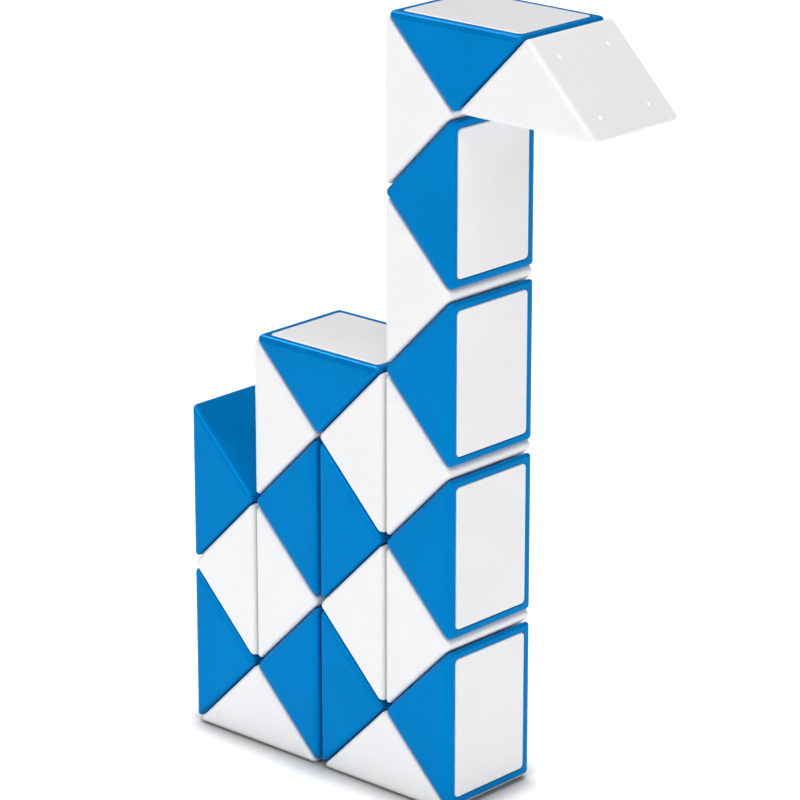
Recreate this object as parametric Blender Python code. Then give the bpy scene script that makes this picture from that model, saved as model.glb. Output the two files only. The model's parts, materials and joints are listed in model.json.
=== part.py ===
"""A twisty snake puzzle: 24 hollow triangular wedges in a chain, each turning on a sprung pivot
screw against the next, folded flat into a four-legged animal with a long neck.

Wedges count from the head, 01, to the tail, 24. Odd wedges are white and even wedges are blue.
Every wedge is modelled in its own frame: its square corner edge lies on the Y axis, its two
square joint faces look along -Z (towards the wedge before) and -X (towards the wedge after),
and its long face, which carries the cover, looks along +X +Z.
"""

import math

import bmesh
import bpy
from mathutils import Matrix, Vector

MM = 0.001

# The wedge
LEG = 20 * MM  # side of the square joint faces, and the pitch of the joints
JOINT_INSET = 0.2 * MM  # half of the space between two joint faces, and between two fronts
LAND_INSET = 0.35 * MM  # the long face, round its cover
SIDE_ROUND = 1.1 * MM  # radius of the edges of the two triangular sides
CORNER_ROUND = 1.0 * MM  # radius of the square corner edge
TIP_ROUND = 0.8 * MM  # radius that the flat cut across each sharp edge stands for
LEAST_ROUND = 0.08 * MM  # what is left of the square corner's radius on the flat of a side
ROUND_STEPS = 2
WALL = 1.4 * MM
WHITE_ROOF = 1.25 * MM  # wall under a cover that is modelled with its shell

# The cover on the long face
COVER_LENGTH = 22.2 * MM
COVER_WIDTH = 16.4 * MM
COVER_CORNER = 0.9 * MM
COVER_INSET = 0.2 * MM  # its outer face, which stands proud of the land
COVER_THICKNESS = 0.8 * MM
COVER_UNDERSIDE = -COVER_INSET - COVER_THICKNESS
FIT_GAP = 0.3 * MM
OPENING_LENGTH = 18.0 * MM
OPENING_WIDTH = 14.8 * MM
LEDGE_THICKNESS = 0.8 * MM
HOOK_LENGTH = 4.0 * MM
HOOK_DEPTH = 2.0 * MM
HOOK_THICKNESS = 0.8 * MM

# The clicks: bumps on the face towards the head, hollows on the face towards the tail
CLICK_REACH = 5.55 * MM  # from the face's centre lines to each bump
BUMP_HEIGHT = 0.25 * MM
BUMP_RADIUS = 0.7 * MM
BUMP_TOP_RADIUS = 0.35 * MM
HOLLOW_DEPTH = 0.3 * MM
HOLLOW_RADIUS = 0.9 * MM
HOLLOW_FLOOR_RADIUS = 0.5 * MM
CLICK_SIDES = 6

# The pivot: a screw with its spring under the head, threaded into the next wedge's boss
SCREW_RADIUS = 1.1 * MM
BORE_RADIUS = 1.5 * MM
BOSS_RADIUS = 2.3 * MM
BOSS_TOP = 4.6 * MM  # from the plane midway between the two joint faces
SCREW_TIP = 4.2 * MM
HEAD_TOP = 5.1 * MM
HEAD_THICKNESS = 1.0 * MM
HEAD_RADIUS = 2.1 * MM
SPRING_RADIUS = 2.0 * MM
SPRING_WAIST = 1.6 * MM
SPRING_TURNS = 3
PIVOT_SIDES = 8

# The fold, one letter for each joint from the head. S leaves the next wedge as it is in the
# straight snake, and T turns it half round on its pivot.
FOLD = "STSSSSSSSTTSSSTTSSSTTSS"
WEDGES = len(FOLD) + 1
ROOT = 11  # a foot wedge, which carries all the others
HEAD_TURN = math.radians(135)  # from the first wedge's own frame to its place on the neck

SHARP_ANGLE = math.radians(50)  # edges bent further than this are shaded as edges

# The plastics and the steel: colour, roughness, metallic
FINISHES = {
    "blue_plastic": ((0.0, 0.21, 0.60, 1.0), 0.32, 0.0),
    "white_plastic": ((0.86, 0.86, 0.87, 1.0), 0.34, 0.0),
    "cover_plastic": ((0.83, 0.83, 0.85, 1.0), 0.38, 0.0),
    "steel": ((0.56, 0.57, 0.58, 1.0), 0.30, 1.0),
}


def clear_scene():
    for obj in list(bpy.data.objects):
        bpy.data.objects.remove(obj)


def finish_material(name):
    colour, roughness, metallic = FINISHES[name]
    material = bpy.data.materials.new(name)
    material.use_nodes = True
    shader = material.node_tree.nodes["Principled BSDF"]
    shader.inputs["Base Color"].default_value = colour
    shader.inputs["Roughness"].default_value = roughness
    shader.inputs["Metallic"].default_value = metallic
    material.diffuse_color = colour
    return material


def corner_arc(before, corner, after, radius, steps):
    """Points of the arc that rounds one corner of an outline, on its plane."""
    back = (before - corner).normalized()
    ahead = (after - corner).normalized()
    half_angle = back.angle(ahead) / 2
    centre = corner + (back + ahead).normalized() * radius / math.sin(half_angle)
    first = corner + back * radius / math.tan(half_angle) - centre
    last = corner + ahead * radius / math.tan(half_angle) - centre
    swing = first.angle(last)
    points = []
    for step in range(steps + 1):
        t = step / steps
        mix = first * math.sin((1 - t) * swing) + last * math.sin(t * swing)
        points.append(centre + mix / math.sin(swing))
    return points


def rounded_outline(corners, radii, steps):
    """A closed outline with each corner rounded; corners and result are 2-D vectors."""
    outline = []
    for index, corner in enumerate(corners):
        before = corners[index - 1]
        after = corners[(index + 1) % len(corners)]
        outline += corner_arc(before, corner, after, radii[index], steps[index])
    return outline


def wedge_corners(leg_inset, long_inset):
    """The triangle's corners with its legs and its long side moved inwards: square, then sharp."""
    reach = LEG - leg_inset - long_inset * math.sqrt(2)
    return [
        Vector((leg_inset, leg_inset)),
        Vector((reach, leg_inset)),
        Vector((leg_inset, reach)),
    ]


def loft(rings, name):
    """A closed mesh through rings of equally many points, with a flat cap at each end."""
    shape = bmesh.new()
    rows = [[shape.verts.new(point) for point in ring] for ring in rings]
    count = len(rings[0])
    for low, high in zip(rows, rows[1:]):
        for index in range(count):
            after = (index + 1) % count
            shape.faces.new((low[index], low[after], high[after], high[index]))
    shape.faces.new(rows[0])
    shape.faces.new(rows[-1])
    bmesh.ops.recalc_face_normals(shape, faces=shape.faces)
    mesh = bpy.data.meshes.new(name)
    shape.to_mesh(mesh)
    shape.free()
    return mesh


def wedge_ring(y, shrink):
    corners = wedge_corners(JOINT_INSET + shrink, LAND_INSET + shrink)
    square = max(CORNER_ROUND - shrink, LEAST_ROUND)
    outline = rounded_outline(corners, (square, TIP_ROUND, TIP_ROUND), (ROUND_STEPS, 1, 1))
    return [Vector((x, y, z)) for x, z in outline]


def wedge_block():
    """The outside of a wedge: a prism that shrinks along a quarter circle towards each side."""
    levels = []
    for step in range(ROUND_STEPS + 1):
        angle = math.pi / 2 * step / ROUND_STEPS
        y = LEG / 2 - JOINT_INSET - SIDE_ROUND * (1 - math.cos(angle))
        levels.append((y, SIDE_ROUND * (1 - math.sin(angle))))
    rings = [wedge_ring(-y, shrink) for y, shrink in levels]
    rings += [wedge_ring(y, shrink) for y, shrink in reversed(levels)]
    return loft(rings, "wedge_block")


def prism(leg_inset, long_inset, side_inset):
    """A sharp-cornered wedge, for hollowing out."""
    half_width = LEG / 2 - side_inset
    corners = wedge_corners(leg_inset, long_inset)
    rings = [[Vector((x, y, z)) for x, z in corners] for y in (-half_width, half_width)]
    return loft(rings, "prism")


def slab(frame, length, width, top, bottom, corner=0.0):
    """A flat block in one of the face frames, its corners cut off where corner is given."""
    corners = [
        Vector((sx * length / 2, sy * width / 2))
        for sx, sy in ((-1, -1), (1, -1), (1, 1), (-1, 1))
    ]
    if corner:
        corners = rounded_outline(corners, [corner] * 4, [1] * 4)
    rings = [[frame @ Vector((x, y, z)) for x, y in corners] for z in (bottom, top)]
    return loft(rings, "slab")


def cover_slab(margin, top, bottom):
    """The cover's outline on the long face, widened by a margin."""
    length = COVER_LENGTH + 2 * margin
    width = COVER_WIDTH + 2 * margin
    return slab(LONG_SIDE, length, width, top, bottom, COVER_CORNER)


def turned(frame, profile, sides):
    """A solid of revolution about a frame's Z axis, through (radius, height) pairs."""
    rings = []
    for radius, height in profile:
        ring = []
        for side in range(sides):
            angle = 2 * math.pi * (side + 0.5) / sides
            spot = Vector((radius * math.cos(angle), radius * math.sin(angle), height))
            ring.append(frame @ spot)
        rings.append(ring)
    return loft(rings, "turned")


def carve(mesh, steps):
    """The mesh after a list of (Boolean operation, tool mesh) steps."""
    scene_objects = bpy.context.scene.collection.objects
    work = bpy.data.objects.new("work", mesh)
    scene_objects.link(work)
    tools = []
    for operation, tool_mesh in steps:
        tool = bpy.data.objects.new("tool", tool_mesh)
        scene_objects.link(tool)
        tools.append(tool)
        cut = work.modifiers.new("cut", "BOOLEAN")
        cut.operation = operation
        cut.solver = "EXACT"
        cut.object = tool
    graph = bpy.context.evaluated_depsgraph_get()
    result = bpy.data.meshes.new_from_object(work.evaluated_get(graph))
    for obj in [work] + tools:
        bpy.data.objects.remove(obj)
    return result


# Where each face's middle lies in a wedge's own frame. In the two joint frames Z runs into the
# wedge from the plane midway to its neighbour, and in the long frame Z looks out of the wedge.
HEAD_SIDE = Matrix.Translation((LEG / 2, 0, 0))
TAIL_SIDE = Matrix.Translation((0, 0, LEG / 2)) @ Matrix.Rotation(math.pi / 2, 4, "Y")
LONG_SIDE = Matrix.Translation((LEG / 2, 0, LEG / 2)) @ Matrix.Rotation(math.pi / 4, 4, "Y")


def click_spots(frame):
    for sx in (-1, 1):
        for sy in (-1, 1):
            yield frame @ Matrix.Translation((sx * CLICK_REACH, sy * CLICK_REACH, 0))


def bump_steps():
    profile = [
        (2 * BUMP_RADIUS - BUMP_TOP_RADIUS, JOINT_INSET + BUMP_HEIGHT),
        (BUMP_TOP_RADIUS, JOINT_INSET - BUMP_HEIGHT),
    ]
    return [("UNION", turned(spot, profile, CLICK_SIDES)) for spot in click_spots(HEAD_SIDE)]


def hollow_steps():
    profile = [
        (2 * HOLLOW_RADIUS - HOLLOW_FLOOR_RADIUS, JOINT_INSET - HOLLOW_DEPTH),
        (HOLLOW_FLOOR_RADIUS, JOINT_INSET + HOLLOW_DEPTH),
    ]
    return [("DIFFERENCE", turned(spot, profile, CLICK_SIDES)) for spot in click_spots(TAIL_SIDE)]


def cavity(long_inset, has_boss):
    """The inside of a shell, less the boss that stands in it."""
    inside = prism(JOINT_INSET + WALL, long_inset, JOINT_INSET + WALL)
    if not has_boss:
        return inside
    boss = turned(HEAD_SIDE, [(BOSS_RADIUS, 0), (BOSS_RADIUS, BOSS_TOP)], PIVOT_SIDES)
    return carve(inside, [("DIFFERENCE", boss)])


def shell(separate_cover, joins_before, joins_after):
    """A wedge's moulded shell, with its seat for a cover or with the cover as part of it."""
    if separate_cover:
        seat = COVER_UNDERSIDE - FIT_GAP
        roof = LEDGE_THICKNESS - seat
        steps = [
            ("DIFFERENCE", cavity(roof, joins_before)),
            ("DIFFERENCE", cover_slab(FIT_GAP, WALL, seat)),
            ("DIFFERENCE", slab(LONG_SIDE, OPENING_LENGTH, OPENING_WIDTH, WALL, -roof - FIT_GAP)),
        ]
    else:
        steps = [
            ("UNION", cover_slab(0, -COVER_INSET, COVER_UNDERSIDE)),
            ("DIFFERENCE", cavity(LAND_INSET + WHITE_ROOF, joins_before)),
        ]
    if joins_before:
        bore = [(BORE_RADIUS, -WALL), (BORE_RADIUS, BOSS_TOP + WALL)]
        steps.append(("DIFFERENCE", turned(HEAD_SIDE, bore, PIVOT_SIDES)))
    steps += bump_steps()
    if joins_after:
        hole = [(BORE_RADIUS, -WALL), (BORE_RADIUS, JOINT_INSET + 2 * WALL)]
        steps.append(("DIFFERENCE", turned(TAIL_SIDE, hole, PIVOT_SIDES)))
        steps += hollow_steps()
    return carve(wedge_block(), steps)


def cover():
    """A snap-in cover: the plate that shows, and two hooks that hold it in the opening."""
    plate = cover_slab(0, -COVER_INSET, COVER_UNDERSIDE)
    hook_y = OPENING_WIDTH / 2 - FIT_GAP - HOOK_THICKNESS / 2
    steps = []
    for side in (-1, 1):
        place = LONG_SIDE @ Matrix.Translation((0, side * hook_y, 0))
        top = COVER_UNDERSIDE + COVER_THICKNESS / 2
        hook = slab(place, HOOK_LENGTH, HOOK_THICKNESS, top, COVER_UNDERSIDE - HOOK_DEPTH)
        steps.append(("UNION", hook))
    return carve(plate, steps)


def pivot():
    """The screw with its spring, in the frame of the wedge whose tail side the head sits in."""
    seat = JOINT_INSET + WALL + FIT_GAP
    under_head = HEAD_TOP - HEAD_THICKNESS
    profile = [(SCREW_RADIUS, -SCREW_TIP), (SCREW_RADIUS, seat)]
    turn = (under_head - seat) / SPRING_TURNS
    for index in range(SPRING_TURNS):
        profile.append((SPRING_WAIST, seat + turn * index))
        profile.append((SPRING_RADIUS, seat + turn * (index + 0.5)))
    profile += [(SPRING_WAIST, under_head), (HEAD_RADIUS, under_head), (HEAD_RADIUS, HEAD_TOP)]
    return turned(TAIL_SIDE, profile, PIVOT_SIDES)


def next_wedge(letter):
    """The frame of the next wedge, in the frame of this one."""
    middle = Matrix.Translation((0, 0, LEG / 2))
    twist = Matrix.Rotation(math.pi if letter == "T" else 0.0, 4, "X")
    axes = Matrix(((0, 0, -1, 0), (0, -1, 0, 0), (-1, 0, 0, 0), (0, 0, 0, 1)))
    return middle @ twist @ Matrix.Translation((0, 0, LEG / 2)) @ axes


def wedge_frames():
    """Every wedge's frame, from the head to the tail."""
    frame = Matrix.Rotation(math.pi, 4, "Z") @ Matrix.Rotation(HEAD_TURN, 4, "Y")
    frames = [frame]
    for letter in FOLD:
        frame = frame @ next_wedge(letter)
        frames.append(frame)
    return frames


def piece_list(frames):
    """Every piece as (name, wedge it moves with, mesh, material, frame)."""
    white = shell(False, True, True)
    blue = shell(True, True, True)
    blue_cover = cover()
    screw = pivot()
    pieces = []
    for number in range(1, WEDGES + 1):
        frame = frames[number - 1]
        name = f"wedge_{number:02d}"
        if number % 2:
            mesh = shell(False, False, True) if number == 1 else white
            pieces.append((name + "_shell", number, mesh, "white_plastic", frame))
        else:
            mesh = shell(True, True, False) if number == WEDGES else blue
            pieces.append((name + "_shell", number, mesh, "blue_plastic", frame))
            pieces.append((name + "_cover", number, blue_cover, "cover_plastic", frame))
        if number < WEDGES:
            pieces.append((f"pivot_{number:02d}_screw_and_spring", number + 1, screw, "steel", frame))
    return pieces


def table_shift(pieces):
    """What moves the middle of the object's underside to the origin."""
    spots = [frame @ v.co for _, _, mesh, _, frame in pieces for v in mesh.vertices]
    low = [min(spot[axis] for spot in spots) for axis in range(3)]
    high = [max(spot[axis] for spot in spots) for axis in range(3)]
    return Matrix.Translation((-(low[0] + high[0]) / 2, -(low[1] + high[1]) / 2, -low[2]))


def body_empties(frames):
    """One empty for each wedge, on its joint's axis and under the wedge that carries it."""
    empties = {}
    outwards = list(range(ROOT, 0, -1)) + list(range(ROOT + 1, WEDGES + 1))
    for number in outwards:
        empty = bpy.data.objects.new(f"wedge_{number:02d}_joint", None)
        empty.empty_display_size = LEG / 2
        bpy.context.scene.collection.objects.link(empty)
        if number == ROOT:
            world = frames[number - 1]
        elif number < ROOT:
            world = frames[number - 1] @ TAIL_SIDE
            parent = number + 1
        else:
            world = frames[number - 2] @ TAIL_SIDE
            parent = number - 1
        if number != ROOT:
            empty.parent = empties[parent][0]
            empty.matrix_local = empties[parent][1].inverted() @ world
        else:
            empty.matrix_local = world
        empties[number] = (empty, world)
    return empties


def build():
    clear_scene()
    materials = {name: finish_material(name) for name in FINISHES}
    frames = wedge_frames()
    pieces = piece_list(frames)
    shift = table_shift(pieces)
    empties = body_empties([shift @ frame for frame in frames])
    for name, body, mesh, finish, frame in pieces:
        if not mesh.materials:
            mesh.materials.append(materials[finish])
            mesh.shade_smooth()
            mesh.set_sharp_from_angle(angle=SHARP_ANGLE)
        empty, world = empties[body]
        obj = bpy.data.objects.new(name, mesh)
        obj.parent = empty
        obj.matrix_local = world.inverted() @ shift @ frame
        bpy.context.scene.collection.objects.link(obj)


build()
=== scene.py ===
"""The look of the folded snake puzzle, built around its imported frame.

Every wedge gets a finely rounded shell, a snap-in cover, and a cross-head screw with its coil
spring at each joint, in moulded plastic and steel. The floor, the lights and the camera follow.
"""

import json
import math

import bmesh
import bpy
from mathutils import Matrix, Vector

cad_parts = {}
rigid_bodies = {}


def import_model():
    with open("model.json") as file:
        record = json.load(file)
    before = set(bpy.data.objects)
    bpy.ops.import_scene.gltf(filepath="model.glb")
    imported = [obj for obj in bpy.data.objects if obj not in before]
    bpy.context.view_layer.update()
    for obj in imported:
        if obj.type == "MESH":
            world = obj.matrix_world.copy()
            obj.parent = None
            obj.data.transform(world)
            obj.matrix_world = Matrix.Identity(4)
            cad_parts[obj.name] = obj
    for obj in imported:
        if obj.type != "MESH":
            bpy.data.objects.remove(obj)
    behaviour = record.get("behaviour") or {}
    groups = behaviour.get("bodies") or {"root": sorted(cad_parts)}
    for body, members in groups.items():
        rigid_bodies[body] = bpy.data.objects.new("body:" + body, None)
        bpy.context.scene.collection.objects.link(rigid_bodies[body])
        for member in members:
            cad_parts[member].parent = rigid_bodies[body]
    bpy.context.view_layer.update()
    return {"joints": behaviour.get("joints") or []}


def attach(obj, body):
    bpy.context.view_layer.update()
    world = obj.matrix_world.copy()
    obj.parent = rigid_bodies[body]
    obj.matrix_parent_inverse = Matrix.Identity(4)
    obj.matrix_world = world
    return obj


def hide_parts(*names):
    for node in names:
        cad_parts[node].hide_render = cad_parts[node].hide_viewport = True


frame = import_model()

MM = 0.001

# The wedge: its own frame has the square edge on Y and its two joint faces towards -Z and -X
LEG = 20 * MM
JOINT_INSET = 0.12 * MM
LAND_INSET = 0.25 * MM
LONG_EDGE_ROUND = 1.15 * MM
JOINT_EDGE_ROUND = 0.85 * MM
CORNER_ROUND = 0.9 * MM
TIP_ROUND = 0.5 * MM
LEAST_ROUND = 0.08 * MM
EDGE_ROUND_STEPS = 6
CORNER_STEPS = 7
TIP_STEPS = 6
WALL = 1.4 * MM

# The cover and its seat
COVER_LENGTH = 23.4 * MM
COVER_WIDTH = 16.3 * MM
COVER_CORNER = 0.8 * MM
COVER_INSET = 0.2 * MM
COVER_THICKNESS = 0.85 * MM
COVER_EDGE = 0.28 * MM
SEAT_GAP = 0.07 * MM
SEAT_EDGE = 0.12 * MM
SEAT_CLEARANCE = 0.1 * MM
OPENING_LENGTH = 18.0 * MM
OPENING_WIDTH = 14.4 * MM
LEDGE_THICKNESS = 0.8 * MM
HOOK_LENGTH = 4.0 * MM
HOOK_DEPTH = 2.0 * MM
HOOK_THICKNESS = 0.8 * MM
EDGE_STEPS = 4

# The clicks
CLICK_REACH = 5.55 * MM
BUMP_HEIGHT = 0.23 * MM
BUMP_RADIUS = 0.55 * MM
HOLLOW_DEPTH = 0.32 * MM
HOLLOW_RADIUS = 0.8 * MM
CLICK_SIDES = 24
CLICK_STEPS = 6
CLICK_OVERLAP = 1.12

# The pivot
BORE_RADIUS = 1.5 * MM
BOSS_RADIUS = 2.3 * MM
BOSS_TOP = 4.6 * MM
PIVOT_SIDES = 32
SCREW_TIP = 4.2 * MM
HEAD_TOP = 5.1 * MM
HEAD_THICKNESS = 1.0 * MM
HEAD_RADIUS = 2.0 * MM
HEAD_FLAT_SHARE = 0.45
HEAD_CROWN_SHARE = 0.55
HEAD_STEPS = 6
SHANK_RADIUS = 1.15 * MM
THREAD_DEPTH = 0.22 * MM
THREAD_PITCH = 0.75 * MM
ROWS_PER_PITCH = 8
SHOULDER = 1.0 * MM
RECESS_SPAN = 2.6 * MM
RECESS_WIDTH = 0.5 * MM
RECESS_DEPTH = 0.65 * MM
DEEPER_ARM = 1.1
SPRING_TURNS = 3.5
SPRING_RADIUS = 1.62 * MM
SPRING_WIRE = 0.17 * MM
SPRING_CLEARANCE = 0.05 * MM
STEPS_PER_TURN = 24
WIRE_SIDES = 10

# The fold: S leaves the next wedge as in the straight snake, T turns it half round
FOLD = "STSSSSSSSTTSSSTTSSSTTSS"
WEDGES = len(FOLD) + 1
HEAD_TURN = math.radians(135)

# How the meshes are shaded
SHARP_ANGLE = math.radians(40)
FLAT_FACE_WEIGHT = 90

# The corners of a square of half size 1, in order round it
SQUARE = ((-1, -1), (1, -1), (1, 1), (-1, 1))

# Where each face's middle lies in a wedge's own frame. In the two joint frames Z runs into the
# wedge from the plane midway to its neighbour, and in the long frame Z looks out of the wedge.
HEAD_SIDE = Matrix.Translation((LEG / 2, 0, 0))
TAIL_SIDE = Matrix.Translation((0, 0, LEG / 2)) @ Matrix.Rotation(math.pi / 2, 4, "Y")
LONG_SIDE = Matrix.Translation((LEG / 2, 0, LEG / 2)) @ Matrix.Rotation(math.pi / 4, 4, "Y")


# ---------------------------------------------------------------- shapes


def on_circle(radius, angle, height):
    """A point at a height on a circle about the Z axis."""
    return Vector((radius * math.cos(angle), radius * math.sin(angle), height))


def arc_points(before, corner, after, radius, steps):
    """Points along the arc that rounds a corner of an outline."""
    back = (before - corner).normalized()
    ahead = (after - corner).normalized()
    half_angle = back.angle(ahead) / 2
    centre = corner + (back + ahead).normalized() * radius / math.sin(half_angle)
    first = corner + back * radius / math.tan(half_angle) - centre
    last = corner + ahead * radius / math.tan(half_angle) - centre
    swing = first.angle(last)
    points = []
    for step in range(steps + 1):
        t = step / steps
        mix = first * math.sin((1 - t) * swing) + last * math.sin(t * swing)
        points.append(centre + mix / math.sin(swing))
    return points


def rounded_outline(corners, radii, steps):
    """A closed outline with each corner rounded to its own radius in its own number of steps."""
    outline = []
    for index, corner in enumerate(corners):
        before = corners[index - 1]
        after = corners[(index + 1) % len(corners)]
        outline += arc_points(before, corner, after, radii[index], steps[index])
    return outline


def wedge_corners(leg_inset, long_inset):
    """A wedge's triangle, drawn in from its two legs and from its long side."""
    reach = LEG - leg_inset - long_inset * math.sqrt(2)
    return [
        Vector((leg_inset, leg_inset)),
        Vector((reach, leg_inset)),
        Vector((leg_inset, reach)),
    ]


def loft(rings, name):
    """A closed mesh through rings of equally many points, with a flat cap at each end."""
    shape = bmesh.new()
    rows = [[shape.verts.new(point) for point in ring] for ring in rings]
    count = len(rings[0])
    for low, high in zip(rows, rows[1:]):
        for index in range(count):
            after = (index + 1) % count
            shape.faces.new((low[index], low[after], high[after], high[index]))
    shape.faces.new(rows[0])
    shape.faces.new(rows[-1])
    bmesh.ops.recalc_face_normals(shape, faces=shape.faces)
    mesh = bpy.data.meshes.new(name)
    shape.to_mesh(mesh)
    shape.free()
    return mesh


def quarter_circle(radius, steps):
    """(distance out of the flat, distance in from the edge) along a rounded edge."""
    for step in range(steps + 1):
        angle = math.pi / 2 * step / steps
        yield radius * (1 - math.cos(angle)), radius * (1 - math.sin(angle))


def round_off(radius, depth):
    """How far an edge rounded to a radius has drawn in at a depth under the end face."""
    left = max(radius - depth, 0)
    return radius - math.sqrt(radius * radius - left * left)


def wedge_block():
    """The outside of a wedge. Its long edges are rounded more than its joint edges."""
    depths = {
        depth
        for radius in (LONG_EDGE_ROUND, JOINT_EDGE_ROUND)
        for depth, _ in quarter_circle(radius, EDGE_ROUND_STEPS)
    }
    end = LEG / 2 - JOINT_INSET
    levels = [(-end + depth, depth) for depth in sorted(depths)]
    # A row of vertices through each hole, so that no face has a hole in it
    levels += [(y, end) for y in (-CLICK_REACH, 0, CLICK_REACH)]
    levels += [(end - depth, depth) for depth in sorted(depths, reverse=True)]
    rings = []
    for y, depth in levels:
        joint_draw = round_off(JOINT_EDGE_ROUND, depth)
        long_draw = round_off(LONG_EDGE_ROUND, depth)
        corners = wedge_corners(JOINT_INSET + joint_draw, LAND_INSET + long_draw)
        radii = [max(r - joint_draw, LEAST_ROUND) for r in (CORNER_ROUND, TIP_ROUND, TIP_ROUND)]
        outline = rounded_outline(corners, radii, (CORNER_STEPS, TIP_STEPS, TIP_STEPS))
        rings.append([Vector((x, y, z)) for x, z in outline])
    return loft(rings, "wedge_block")


def prism(leg_inset, long_inset, side_inset):
    """A plain wedge, drawn in from its legs, its long face and its two ends."""
    half_width = LEG / 2 - side_inset
    corners = wedge_corners(leg_inset, long_inset)
    rings = [[Vector((x, y, z)) for x, z in corners] for y in (-half_width, 0, half_width)]
    return loft(rings, "prism")


def plate(place, length, width, corner, levels, steps):
    """A flat rounded block in one of the face frames, through (height, margin) levels."""
    rings = []
    for height, margin in levels:
        half = Vector((length / 2 + margin, width / 2 + margin))
        corners = [Vector((sx * half.x, sy * half.y)) for sx, sy in SQUARE]
        outline = rounded_outline(corners, [corner + margin] * 4, [steps] * 4)
        rings.append([place @ Vector((x, y, height)) for x, y in outline])
    return loft(rings, "plate")


def slab(place, length, width, top, bottom):
    """A block with sharp edges in one of the face frames."""
    half = Vector((length / 2, width / 2))
    rings = []
    for height in (bottom, top):
        rings.append([place @ Vector((sx * half.x, sy * half.y, height)) for sx, sy in SQUARE])
    return loft(rings, "slab")


def turned(place, profile, sides):
    """A solid of revolution about the frame's Z axis, through (radius, height) pairs."""
    rings = []
    for radius, height in profile:
        ring = []
        for side in range(sides):
            angle = 2 * math.pi * (side + 0.5) / sides
            ring.append(place @ on_circle(radius, angle, height))
        rings.append(ring)
    return loft(rings, "turned")


def carve(mesh, steps):
    """The mesh after a list of (Boolean operation, tool mesh) steps."""
    scene_objects = bpy.context.scene.collection.objects
    work = bpy.data.objects.new("work", mesh)
    scene_objects.link(work)
    tools = []
    for operation, tool_mesh in steps:
        tool = bpy.data.objects.new("tool", tool_mesh)
        scene_objects.link(tool)
        tools.append(tool)
        cut = work.modifiers.new("cut", "BOOLEAN")
        cut.operation = operation
        cut.solver = "EXACT"
        cut.object = tool
    graph = bpy.context.evaluated_depsgraph_get()
    result = bpy.data.meshes.new_from_object(work.evaluated_get(graph))
    for obj in [work] + tools:
        bpy.data.objects.remove(obj)
    return result


def dome_profile(radius, height):
    """A spherical cap that starts a little behind its face, so that no ring lies in the face."""
    ball = (radius * radius + height * height) / (2 * height)
    widest = CLICK_OVERLAP * math.asin(radius / ball)
    profile = []
    for step in range(CLICK_STEPS):
        angle = widest * (1 - step / CLICK_STEPS)
        profile.append((ball * math.sin(angle), ball - height - ball * math.cos(angle)))
    return profile


def clicks(side, operation, radius, height, into):
    """The four domes of a joint face: bumps that stand out of it, or hollows that go into it."""
    profile = dome_profile(radius, height)
    steps = []
    for sx, sy in SQUARE:
        spot = side @ Matrix.Translation((sx * CLICK_REACH, sy * CLICK_REACH, JOINT_INSET))
        if into:
            spot = spot @ Matrix.Rotation(math.pi, 4, "X")
        steps.append((operation, turned(spot, profile, CLICK_SIDES)))
    return steps


def cavity(long_inset, has_boss):
    """The hollow inside a shell, around the boss that its screw is driven into."""
    inside = prism(JOINT_INSET + WALL, long_inset, JOINT_INSET + WALL)
    if not has_boss:
        return inside
    boss = turned(HEAD_SIDE, [(BOSS_RADIUS, 0), (BOSS_RADIUS, BOSS_TOP)], PIVOT_SIDES)
    return carve(inside, [("DIFFERENCE", boss)])


def shell(joins_before, joins_after):
    """A wedge's moulded shell with the seat for its cover, open inside."""
    seat = -COVER_INSET - COVER_THICKNESS - SEAT_CLEARANCE
    roof = LEDGE_THICKNESS - seat
    levels = [(seat, 0), (-LAND_INSET - SEAT_EDGE, 0), (-LAND_INSET + SEAT_EDGE, 2 * SEAT_EDGE)]
    steps = clicks(HEAD_SIDE, "UNION", BUMP_RADIUS, BUMP_HEIGHT, False)
    if joins_after:
        steps += clicks(TAIL_SIDE, "DIFFERENCE", HOLLOW_RADIUS, HOLLOW_DEPTH, True)
    steps += [
        ("DIFFERENCE", cavity(roof, joins_before)),
        ("DIFFERENCE", plate(LONG_SIDE, COVER_LENGTH + 2 * SEAT_GAP, COVER_WIDTH + 2 * SEAT_GAP,
                             COVER_CORNER + SEAT_GAP, levels, CORNER_STEPS)),
        ("DIFFERENCE", slab(LONG_SIDE, OPENING_LENGTH, OPENING_WIDTH, 0, -roof - WALL / 2)),
    ]
    if joins_before:
        bore = [(BORE_RADIUS, -WALL), (BORE_RADIUS, BOSS_TOP + WALL)]
        steps.append(("DIFFERENCE", turned(HEAD_SIDE, bore, PIVOT_SIDES)))
    if joins_after:
        hole = [(BORE_RADIUS, -WALL), (BORE_RADIUS, JOINT_INSET + 2 * WALL)]
        steps.append(("DIFFERENCE", turned(TAIL_SIDE, hole, PIVOT_SIDES)))
    return carve(wedge_block(), steps)


def cover():
    """A snap-in cover with a soft edge, and the two hooks that hold it."""
    underside = -COVER_INSET - COVER_THICKNESS
    levels = [(underside, 0)]
    levels += [(-COVER_INSET - back, -inwards)
               for inwards, back in quarter_circle(COVER_EDGE, EDGE_STEPS)]
    face = plate(LONG_SIDE, COVER_LENGTH, COVER_WIDTH, COVER_CORNER, levels, CORNER_STEPS)
    hook_y = OPENING_WIDTH / 2 - SEAT_CLEARANCE - HOOK_THICKNESS / 2
    steps = []
    for side in (-1, 1):
        place = LONG_SIDE @ Matrix.Translation((0, side * hook_y, 0))
        top = underside + COVER_THICKNESS / 2
        hook = slab(place, HOOK_LENGTH, HOOK_THICKNESS, top, underside - HOOK_DEPTH)
        steps.append(("UNION", hook))
    return carve(face, steps)


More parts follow.
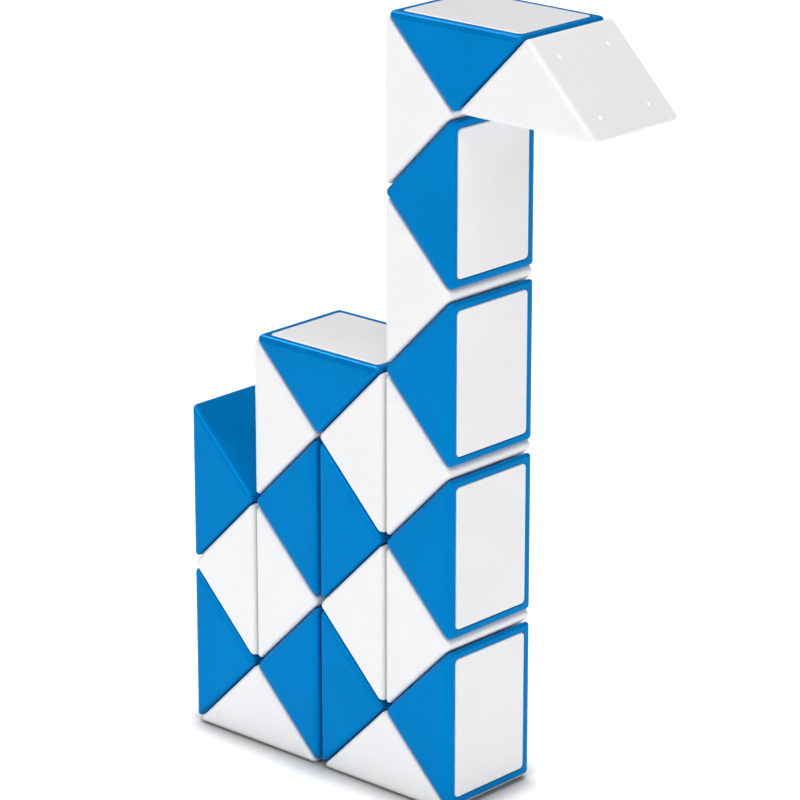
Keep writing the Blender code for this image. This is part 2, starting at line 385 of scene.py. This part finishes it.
def threaded_shank(top):
    """A screw's shank from its tip up to a height. The thread runs out in a plain shoulder."""
    rings = []
    rows = int((top + SCREW_TIP) / THREAD_PITCH * ROWS_PER_PITCH)
    for row in range(rows + 1):
        height = -SCREW_TIP + (top + SCREW_TIP) * row / rows
        depth = THREAD_DEPTH * min(max((top - SHOULDER - height) / THREAD_PITCH, 0), 1)
        ring = []
        for side in range(PIVOT_SIDES):
            share = (height / THREAD_PITCH - side / PIVOT_SIDES) % 1.0
            crest = 1 - abs(2 * share - 1)
            angle = 2 * math.pi * side / PIVOT_SIDES
            ring.append(TAIL_SIDE @ on_circle(SHANK_RADIUS - depth * crest, angle, height))
        rings.append(ring)
    return loft(rings, "threaded_shank")


def screw():
    """A pan-head screw with a cross recess."""
    under_head = HEAD_TOP - HEAD_THICKNESS
    head = [(HEAD_RADIUS, under_head), (HEAD_RADIUS, under_head + HEAD_THICKNESS / 3)]
    for step in range(1, HEAD_STEPS + 1):
        angle = math.pi / 2 * step / (HEAD_STEPS + 1)
        rise = HEAD_THICKNESS / 3 + HEAD_THICKNESS * 2 / 3 * math.sin(angle)
        share = HEAD_FLAT_SHARE + HEAD_CROWN_SHARE * math.cos(angle)
        head.append((HEAD_RADIUS * share, under_head + rise))
    steps = [("UNION", turned(TAIL_SIDE, head, PIVOT_SIDES))]
    # One arm is a shade deeper than the other, so that their floors don't lie in one plane
    for turn, depth in ((0, RECESS_DEPTH), (math.pi / 2, DEEPER_ARM * RECESS_DEPTH)):
        place = TAIL_SIDE @ Matrix.Rotation(turn, 4, "Z")
        slot_cut = slab(place, RECESS_SPAN, RECESS_WIDTH, HEAD_TOP + WALL, HEAD_TOP - depth)
        steps.append(("DIFFERENCE", slot_cut))
    return carve(threaded_shank(under_head + HEAD_THICKNESS / 2), steps)


def spring():
    """The coil between the wedge's floor and the screw's head."""
    low = JOINT_INSET + WALL + SPRING_WIRE + SPRING_CLEARANCE
    high = HEAD_TOP - HEAD_THICKNESS - SPRING_WIRE - SPRING_CLEARANCE
    steps = int(SPRING_TURNS * STEPS_PER_TURN)
    rings = []
    for step in range(steps + 1):
        t = step / steps
        angle = 2 * math.pi * SPRING_TURNS * t
        out = Vector((math.cos(angle), math.sin(angle), 0))
        middle = out * SPRING_RADIUS + Vector((0, 0, low + (high - low) * t))
        ring = []
        for side in range(WIRE_SIDES):
            around = 2 * math.pi * side / WIRE_SIDES
            offset = out * math.cos(around) + Vector((0, 0, math.sin(around)))
            ring.append(TAIL_SIDE @ (middle + offset * SPRING_WIRE))
        rings.append(ring)
    return loft(rings, "spring")


def finish_mesh(mesh, material):
    """The mesh in one material, smooth but for its sharp edges."""
    mesh.materials.clear()
    mesh.materials.append(material)
    mesh.shade_smooth()
    mesh.set_sharp_from_angle(angle=SHARP_ANGLE)
    return mesh


# ---------------------------------------------------------------- materials


# Noise seldom leaves the middle of its range
NOISE_SPAN = (0.35, 0.65)
OWN_SHIFT = (0.7, 1.3, 0.4)

# Scales are in waves per metre
FLOW_SCALE = 90
FLOW_DETAIL = 3
FLOW_ROUGHNESS = 0.55
GRAIN_SCALE = 2600
GRAIN_DETAIL = 2
GRAIN_SPREAD = 0.005
PEEL_SCALE = 350
PEEL_DETAIL = 1
PEEL_STRENGTH = 0.05
MARK_SCALE = 3200
MARK_DETAIL = 4
MARK_ROUGHNESS = 0.6
MARK_DARKNESS = 0.8
MARK_SMOOTHER = 0.08
MARK_ROUGHER = 0.1
MARK_STRENGTH = 0.2
BUMP_DEPTH = 0.01 * MM


def new_material(name):
    """A material with its nodes, their links and its shader."""
    material = bpy.data.materials.new(name)
    material.use_nodes = True
    nodes = material.node_tree.nodes
    return material, nodes, material.node_tree.links, nodes["Principled BSDF"]


def noise(nodes, links, coordinates, scale, detail, roughness=0.5):
    """A noise pattern's value."""
    texture = nodes.new("ShaderNodeTexNoise")
    texture.inputs["Scale"].default_value = scale
    texture.inputs["Detail"].default_value = detail
    texture.inputs["Roughness"].default_value = roughness
    links.new(coordinates, texture.inputs["Vector"])
    return texture.outputs["Fac"]


def ranged(nodes, links, value, low, high, span=NOISE_SPAN):
    """A value that runs from low to high while another crosses a span, and stays there."""
    node = nodes.new("ShaderNodeMapRange")
    node.inputs["From Min"].default_value = span[0]
    node.inputs["From Max"].default_value = span[1]
    node.inputs["To Min"].default_value = low
    node.inputs["To Max"].default_value = high
    links.new(value, node.inputs["Value"])
    return node.outputs["Result"]


def combined(nodes, links, operation, first, second):
    """The sum, product or the like of two values."""
    node = nodes.new("ShaderNodeMath")
    node.operation = operation
    links.new(first, node.inputs[0])
    links.new(second, node.inputs[1])
    return node.outputs["Value"]


def own_coordinates(nodes, links):
    """Coordinates fixed to the piece, shifted by a random amount of its own."""
    place = nodes.new("ShaderNodeTexCoord")
    info = nodes.new("ShaderNodeObjectInfo")
    shift = nodes.new("ShaderNodeVectorMath")
    shift.operation = "SCALE"
    shift.inputs[0].default_value = OWN_SHIFT
    links.new(info.outputs["Random"], shift.inputs["Scale"])
    add = nodes.new("ShaderNodeVectorMath")
    links.new(place.outputs["Object"], add.inputs[0])
    links.new(shift.outputs["Vector"], add.inputs[1])
    return add.outputs["Vector"]


def two_toned(nodes, links, shader, pattern, dark, light):
    """Colour the surface from dark to light by a pattern."""
    mix = nodes.new("ShaderNodeMix")
    mix.data_type = "RGBA"
    mix.inputs["A"].default_value = (*dark, 1)
    mix.inputs["B"].default_value = (*light, 1)
    links.new(ranged(nodes, links, pattern, 0, 1), mix.inputs["Factor"])
    links.new(mix.outputs["Result"], shader.inputs["Base Color"])


def bumped(nodes, links, shader, height, strength):
    """Raise and lower the surface by a pattern."""
    bump = nodes.new("ShaderNodeBump")
    bump.inputs["Strength"].default_value = strength
    bump.inputs["Distance"].default_value = BUMP_DEPTH
    links.new(height, bump.inputs["Height"])
    links.new(bump.outputs["Normal"], shader.inputs["Normal"])


def moulded_plastic(name, colour, deep_colour, tint, roughness, specular, metallic):
    """Glossy moulded plastic: a faint orange peel, flow marks, and roughness that varies."""
    material, nodes, links, shader = new_material(name)
    place = own_coordinates(nodes, links)
    flow = noise(nodes, links, place, FLOW_SCALE, FLOW_DETAIL, FLOW_ROUGHNESS)
    two_toned(nodes, links, shader, flow, deep_colour, colour)
    grain = noise(nodes, links, place, GRAIN_SCALE, GRAIN_DETAIL)
    gloss = ranged(nodes, links, grain, roughness - GRAIN_SPREAD, roughness + GRAIN_SPREAD)
    links.new(gloss, shader.inputs["Roughness"])
    peel = noise(nodes, links, place, PEEL_SCALE, PEEL_DETAIL)
    bumped(nodes, links, shader, peel, PEEL_STRENGTH)
    shader.inputs["Specular IOR Level"].default_value = specular
    shader.inputs["Specular Tint"].default_value = (*tint, 1)
    shader.inputs["Metallic"].default_value = metallic
    return material


def bright_steel(name, colour, roughness):
    """Zinc-bright steel with fine drawn marks."""
    material, nodes, links, shader = new_material(name)
    place = own_coordinates(nodes, links)
    marks = noise(nodes, links, place, MARK_SCALE, MARK_DETAIL, MARK_ROUGHNESS)
    two_toned(nodes, links, shader, marks, [MARK_DARKNESS * c for c in colour], colour)
    gloss = ranged(nodes, links, marks, roughness - MARK_SMOOTHER, roughness + MARK_ROUGHER)
    links.new(gloss, shader.inputs["Roughness"])
    bumped(nodes, links, shader, marks, MARK_STRENGTH)
    shader.inputs["Metallic"].default_value = 1.0
    return material


BLUE = moulded_plastic(
    "blue_plastic",
    colour=(0.0, 0.203, 0.54),
    deep_colour=(0.0, 0.188, 0.51),
    tint=(0.0, 0.6, 1.0),
    roughness=0.16,
    specular=0.035,
    metallic=0.2,
)
WHITE = moulded_plastic(
    "white_plastic",
    colour=(0.85, 0.85, 0.853),
    deep_colour=(0.835, 0.835, 0.84),
    tint=(1.0, 1.0, 1.0),
    roughness=0.28,
    specular=0.5,
    metallic=0.0,
)
COVER = moulded_plastic(
    "cover_plastic",
    colour=(0.85, 0.85, 0.862),
    deep_colour=(0.83, 0.83, 0.847),
    tint=(1.0, 1.0, 1.0),
    roughness=0.25,
    specular=0.5,
    metallic=0.0,
)
ZINC = bright_steel("zinc_steel", colour=(0.62, 0.63, 0.64), roughness=0.3)
SPRING_STEEL = bright_steel("spring_steel", colour=(0.5, 0.5, 0.51), roughness=0.25)


# ---------------------------------------------------------------- the pieces


def next_wedge(letter):
    """The frame of the next wedge, in the frame of this one."""
    middle = Matrix.Translation((0, 0, LEG / 2))
    twist = Matrix.Rotation(math.pi if letter == "T" else 0.0, 4, "X")
    axes = Matrix(((0, 0, -1, 0), (0, -1, 0, 0), (-1, 0, 0, 0), (0, 0, 0, 1)))
    return middle @ twist @ Matrix.Translation((0, 0, LEG / 2)) @ axes


def wedge_frames():
    """Every wedge's frame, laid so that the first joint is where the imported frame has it."""
    first = Matrix.Rotation(math.pi, 4, "Z") @ Matrix.Rotation(HEAD_TURN, 4, "Y")
    neck = {joint["name"]: Vector(joint["pos_m"]) for joint in frame["joints"]}["twist_01"]
    shift = neck - first @ Vector((0, 0, LEG / 2))
    frames = [Matrix.Translation(shift) @ first]
    for letter in FOLD:
        frames.append(frames[-1] @ next_wedge(letter))
    return frames


def add_piece(name, mesh, place, body):
    """A piece made of a copy of the mesh, laid in a wedge's frame and carried by a body."""
    placed = mesh.copy()
    placed.transform(place)
    obj = bpy.data.objects.new(name, placed)
    bpy.context.scene.collection.objects.link(obj)
    smooth = obj.modifiers.new("flat_faces_stay_flat", "WEIGHTED_NORMAL")
    smooth.keep_sharp = True
    smooth.weight = FLAT_FACE_WEIGHT
    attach(obj, body)
    return obj


def add_wedges():
    """Every wedge's moulding and lid, and the screw and spring that ride in the next wedge."""
    white = finish_mesh(shell(True, True), WHITE)
    white_head = finish_mesh(shell(False, True), WHITE)
    blue = finish_mesh(shell(True, True), BLUE)
    blue_tail = finish_mesh(shell(True, False), BLUE)
    white_cover = finish_mesh(cover(), WHITE)
    panel = finish_mesh(cover(), COVER)
    screw_mesh = finish_mesh(screw(), ZINC)
    spring_mesh = finish_mesh(spring(), SPRING_STEEL)
    for number, place in enumerate(wedge_frames(), 1):
        body = f"wedge_{number:02d}"
        if number % 2:
            mesh = white_head if number == 1 else white
            moulding = add_piece(f"{body}_moulding", mesh, place, body)
            add_piece(f"{body}_lid", white_cover, place, body)
        else:
            mesh = blue_tail if number == WEDGES else blue
            moulding = add_piece(f"{body}_moulding", mesh, place, body)
            lid = add_piece(f"{body}_lid", panel, place, body)
            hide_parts(f"{body}_cover")
        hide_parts(f"{body}_shell")
        if number < WEDGES:
            rider = f"wedge_{number + 1:02d}"
            pin = add_piece(f"pivot_{number:02d}_screw", screw_mesh, place, rider)
            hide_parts(f"pivot_{number:02d}_screw_and_spring")
            add_piece(f"pivot_{number:02d}_spring", spring_mesh, place, rider)


add_wedges()


# ---------------------------------------------------------------- floor, light, camera

FLOOR_SIZE = 8.0
FLOOR_COLOUR = 0.9
FLOOR_ROUGHNESS = 0.8
FLOOR_SPECULAR = 0.1
# The floor's painted glow: a painted pool of light next to the figure, and a glow that grows far off
NEAR_GLOW = 0.2
NEAR_GLOW_SPAN = (0.06, 0.35)
WIDE_GLOW = (0.22, 0.6)
WIDE_GLOW_SPAN = (0.3, 1.0)
# The painted contact shadow on the floor: how far it reaches, how dark it gets, and over what
# occlusion it fades
PAINTED_SHADOW_REACH = 7 * MM
PAINTED_SHADOW_SAMPLES = 16
PAINTED_SHADOW_DARKEST = 0.45
PAINTED_SHADOW_SPAN = (0.45, 1.0)
BACKDROP_LIGHT = 0.18
CEILING_LIGHT = 0.2
BACKDROP_TOP = (0.35, 0.6)
PURE_WHITE = (1, 1, 1, 1)

# The middle of the figure, which the lights and the camera look at. Azimuths and elevations are
# in degrees, and azimuth 0 is the front.
LOOK_AT = Vector((-0.0044, 0, 0.0619))
CAMERA_AZIMUTH = 42.4
CAMERA_ELEVATION = 18.38
CAMERA_DISTANCE = 0.614
CAMERA_LENS = 176.2
CAMERA_CLIP_START = 0.01

LIGHT_DISTANCE = 2.4

# The name, azimuth, elevation, width in metres and power in watts of each softbox
SOFTBOXES = (
    ("key_light", 30, 55, 1.4, 21),
    ("edge_light", 3, 20, 0.5, 6),
    ("side_light", 85, 34, 1.5, 9),
    ("top_light", 0, 85, 2.0, 18),
    ("rim_light", -105, 47, 0.7, 11),
    ("back_light", -135, 50, 1.6, 8),
)


def add_floor():
    """A white floor that glows a little, with a painted pool of light next to the figure and a
    painted contact shadow that darkens it only where the figure stands on it.
    """
    mesh = bpy.data.meshes.new("floor")
    half = FLOOR_SIZE / 2
    mesh.from_pydata([(sx * half, sy * half, 0) for sx, sy in SQUARE], [], [(0, 1, 2, 3)])
    floor = bpy.data.objects.new("floor", mesh)
    bpy.context.scene.collection.objects.link(floor)
    material, nodes, links, shader = new_material("pale_floor")
    shader.inputs["Roughness"].default_value = FLOOR_ROUGHNESS
    shader.inputs["Specular IOR Level"].default_value = FLOOR_SPECULAR
    # Painted contact shadow: ambient occlusion darkens the floor's colour and dims its glow where the
    # figure stands close over it
    painted_shadow_ao = nodes.new("ShaderNodeAmbientOcclusion")
    painted_shadow_ao.samples = PAINTED_SHADOW_SAMPLES
    painted_shadow_ao.inputs["Distance"].default_value = PAINTED_SHADOW_REACH
    open_sky = painted_shadow_ao.outputs["AO"]
    lit = ranged(nodes, links, open_sky, 0, 1, PAINTED_SHADOW_SPAN)
    darkest = FLOOR_COLOUR * PAINTED_SHADOW_DARKEST
    painted_shadow_colour = ranged(nodes, links, open_sky, darkest, FLOOR_COLOUR, PAINTED_SHADOW_SPAN)
    links.new(painted_shadow_colour, shader.inputs["Base Color"])
    # Painted glow: the floor gives off light, a painted pool of it next to the figure and more again
    # far away
    place = nodes.new("ShaderNodeTexCoord")
    distance = nodes.new("ShaderNodeVectorMath")
    distance.operation = "LENGTH"
    links.new(place.outputs["Object"], distance.inputs[0])
    away = distance.outputs["Value"]
    near = ranged(nodes, links, away, NEAR_GLOW, 0, NEAR_GLOW_SPAN)
    wide = ranged(nodes, links, away, *WIDE_GLOW, WIDE_GLOW_SPAN)
    glow = combined(nodes, links, "ADD", near, wide)
    shader.inputs["Emission Color"].default_value = PURE_WHITE
    links.new(combined(nodes, links, "MULTIPLY", glow, lit), shader.inputs["Emission Strength"])
    mesh.materials.append(material)


def add_world():
    """A dim, nearly even backdrop all round."""
    world = bpy.data.worlds.new("studio")
    world.use_nodes = True
    nodes = world.node_tree.nodes
    links = world.node_tree.links
    direction = nodes.new("ShaderNodeTexCoord")
    split = nodes.new("ShaderNodeSeparateXYZ")
    links.new(direction.outputs["Generated"], split.inputs["Vector"])
    height = split.outputs["Z"]
    strength = ranged(nodes, links, height, BACKDROP_LIGHT, CEILING_LIGHT, BACKDROP_TOP)
    background = nodes["Background"]
    background.inputs["Color"].default_value = PURE_WHITE
    links.new(strength, background.inputs["Strength"])
    bpy.context.scene.world = world


def add_looking(name, data, azimuth, elevation, distance):
    """A light or camera that looks at the figure's middle from a direction."""
    turn = math.radians(azimuth)
    rise = math.radians(elevation)
    away = Vector((math.sin(turn) * math.cos(rise), -math.cos(turn) * math.cos(rise), math.sin(rise)))
    looker = bpy.data.objects.new(name, data)
    bpy.context.scene.collection.objects.link(looker)
    looker.location = LOOK_AT + away * distance
    looker.rotation_euler = away.to_track_quat("Z", "Y").to_euler()
    return looker


def add_softbox(name, azimuth, elevation, size, power):
    """A square area light."""
    light = bpy.data.lights.new(name, "AREA")
    light.shape = "SQUARE"
    light.size = size
    light.energy = power
    add_looking(name, light, azimuth, elevation, LIGHT_DISTANCE)


def add_camera():
    """The camera, at a long lens's distance."""
    camera = bpy.data.cameras.new("camera")
    camera.lens = CAMERA_LENS
    camera.clip_start = CAMERA_CLIP_START
    viewpoint = add_looking("camera", camera, CAMERA_AZIMUTH, CAMERA_ELEVATION, CAMERA_DISTANCE)
    bpy.context.scene.camera = viewpoint


add_floor()
add_world()
for softbox in SOFTBOXES:
    add_softbox(*softbox)
add_camera()
bpy.context.scene.view_settings.view_transform = "Standard"
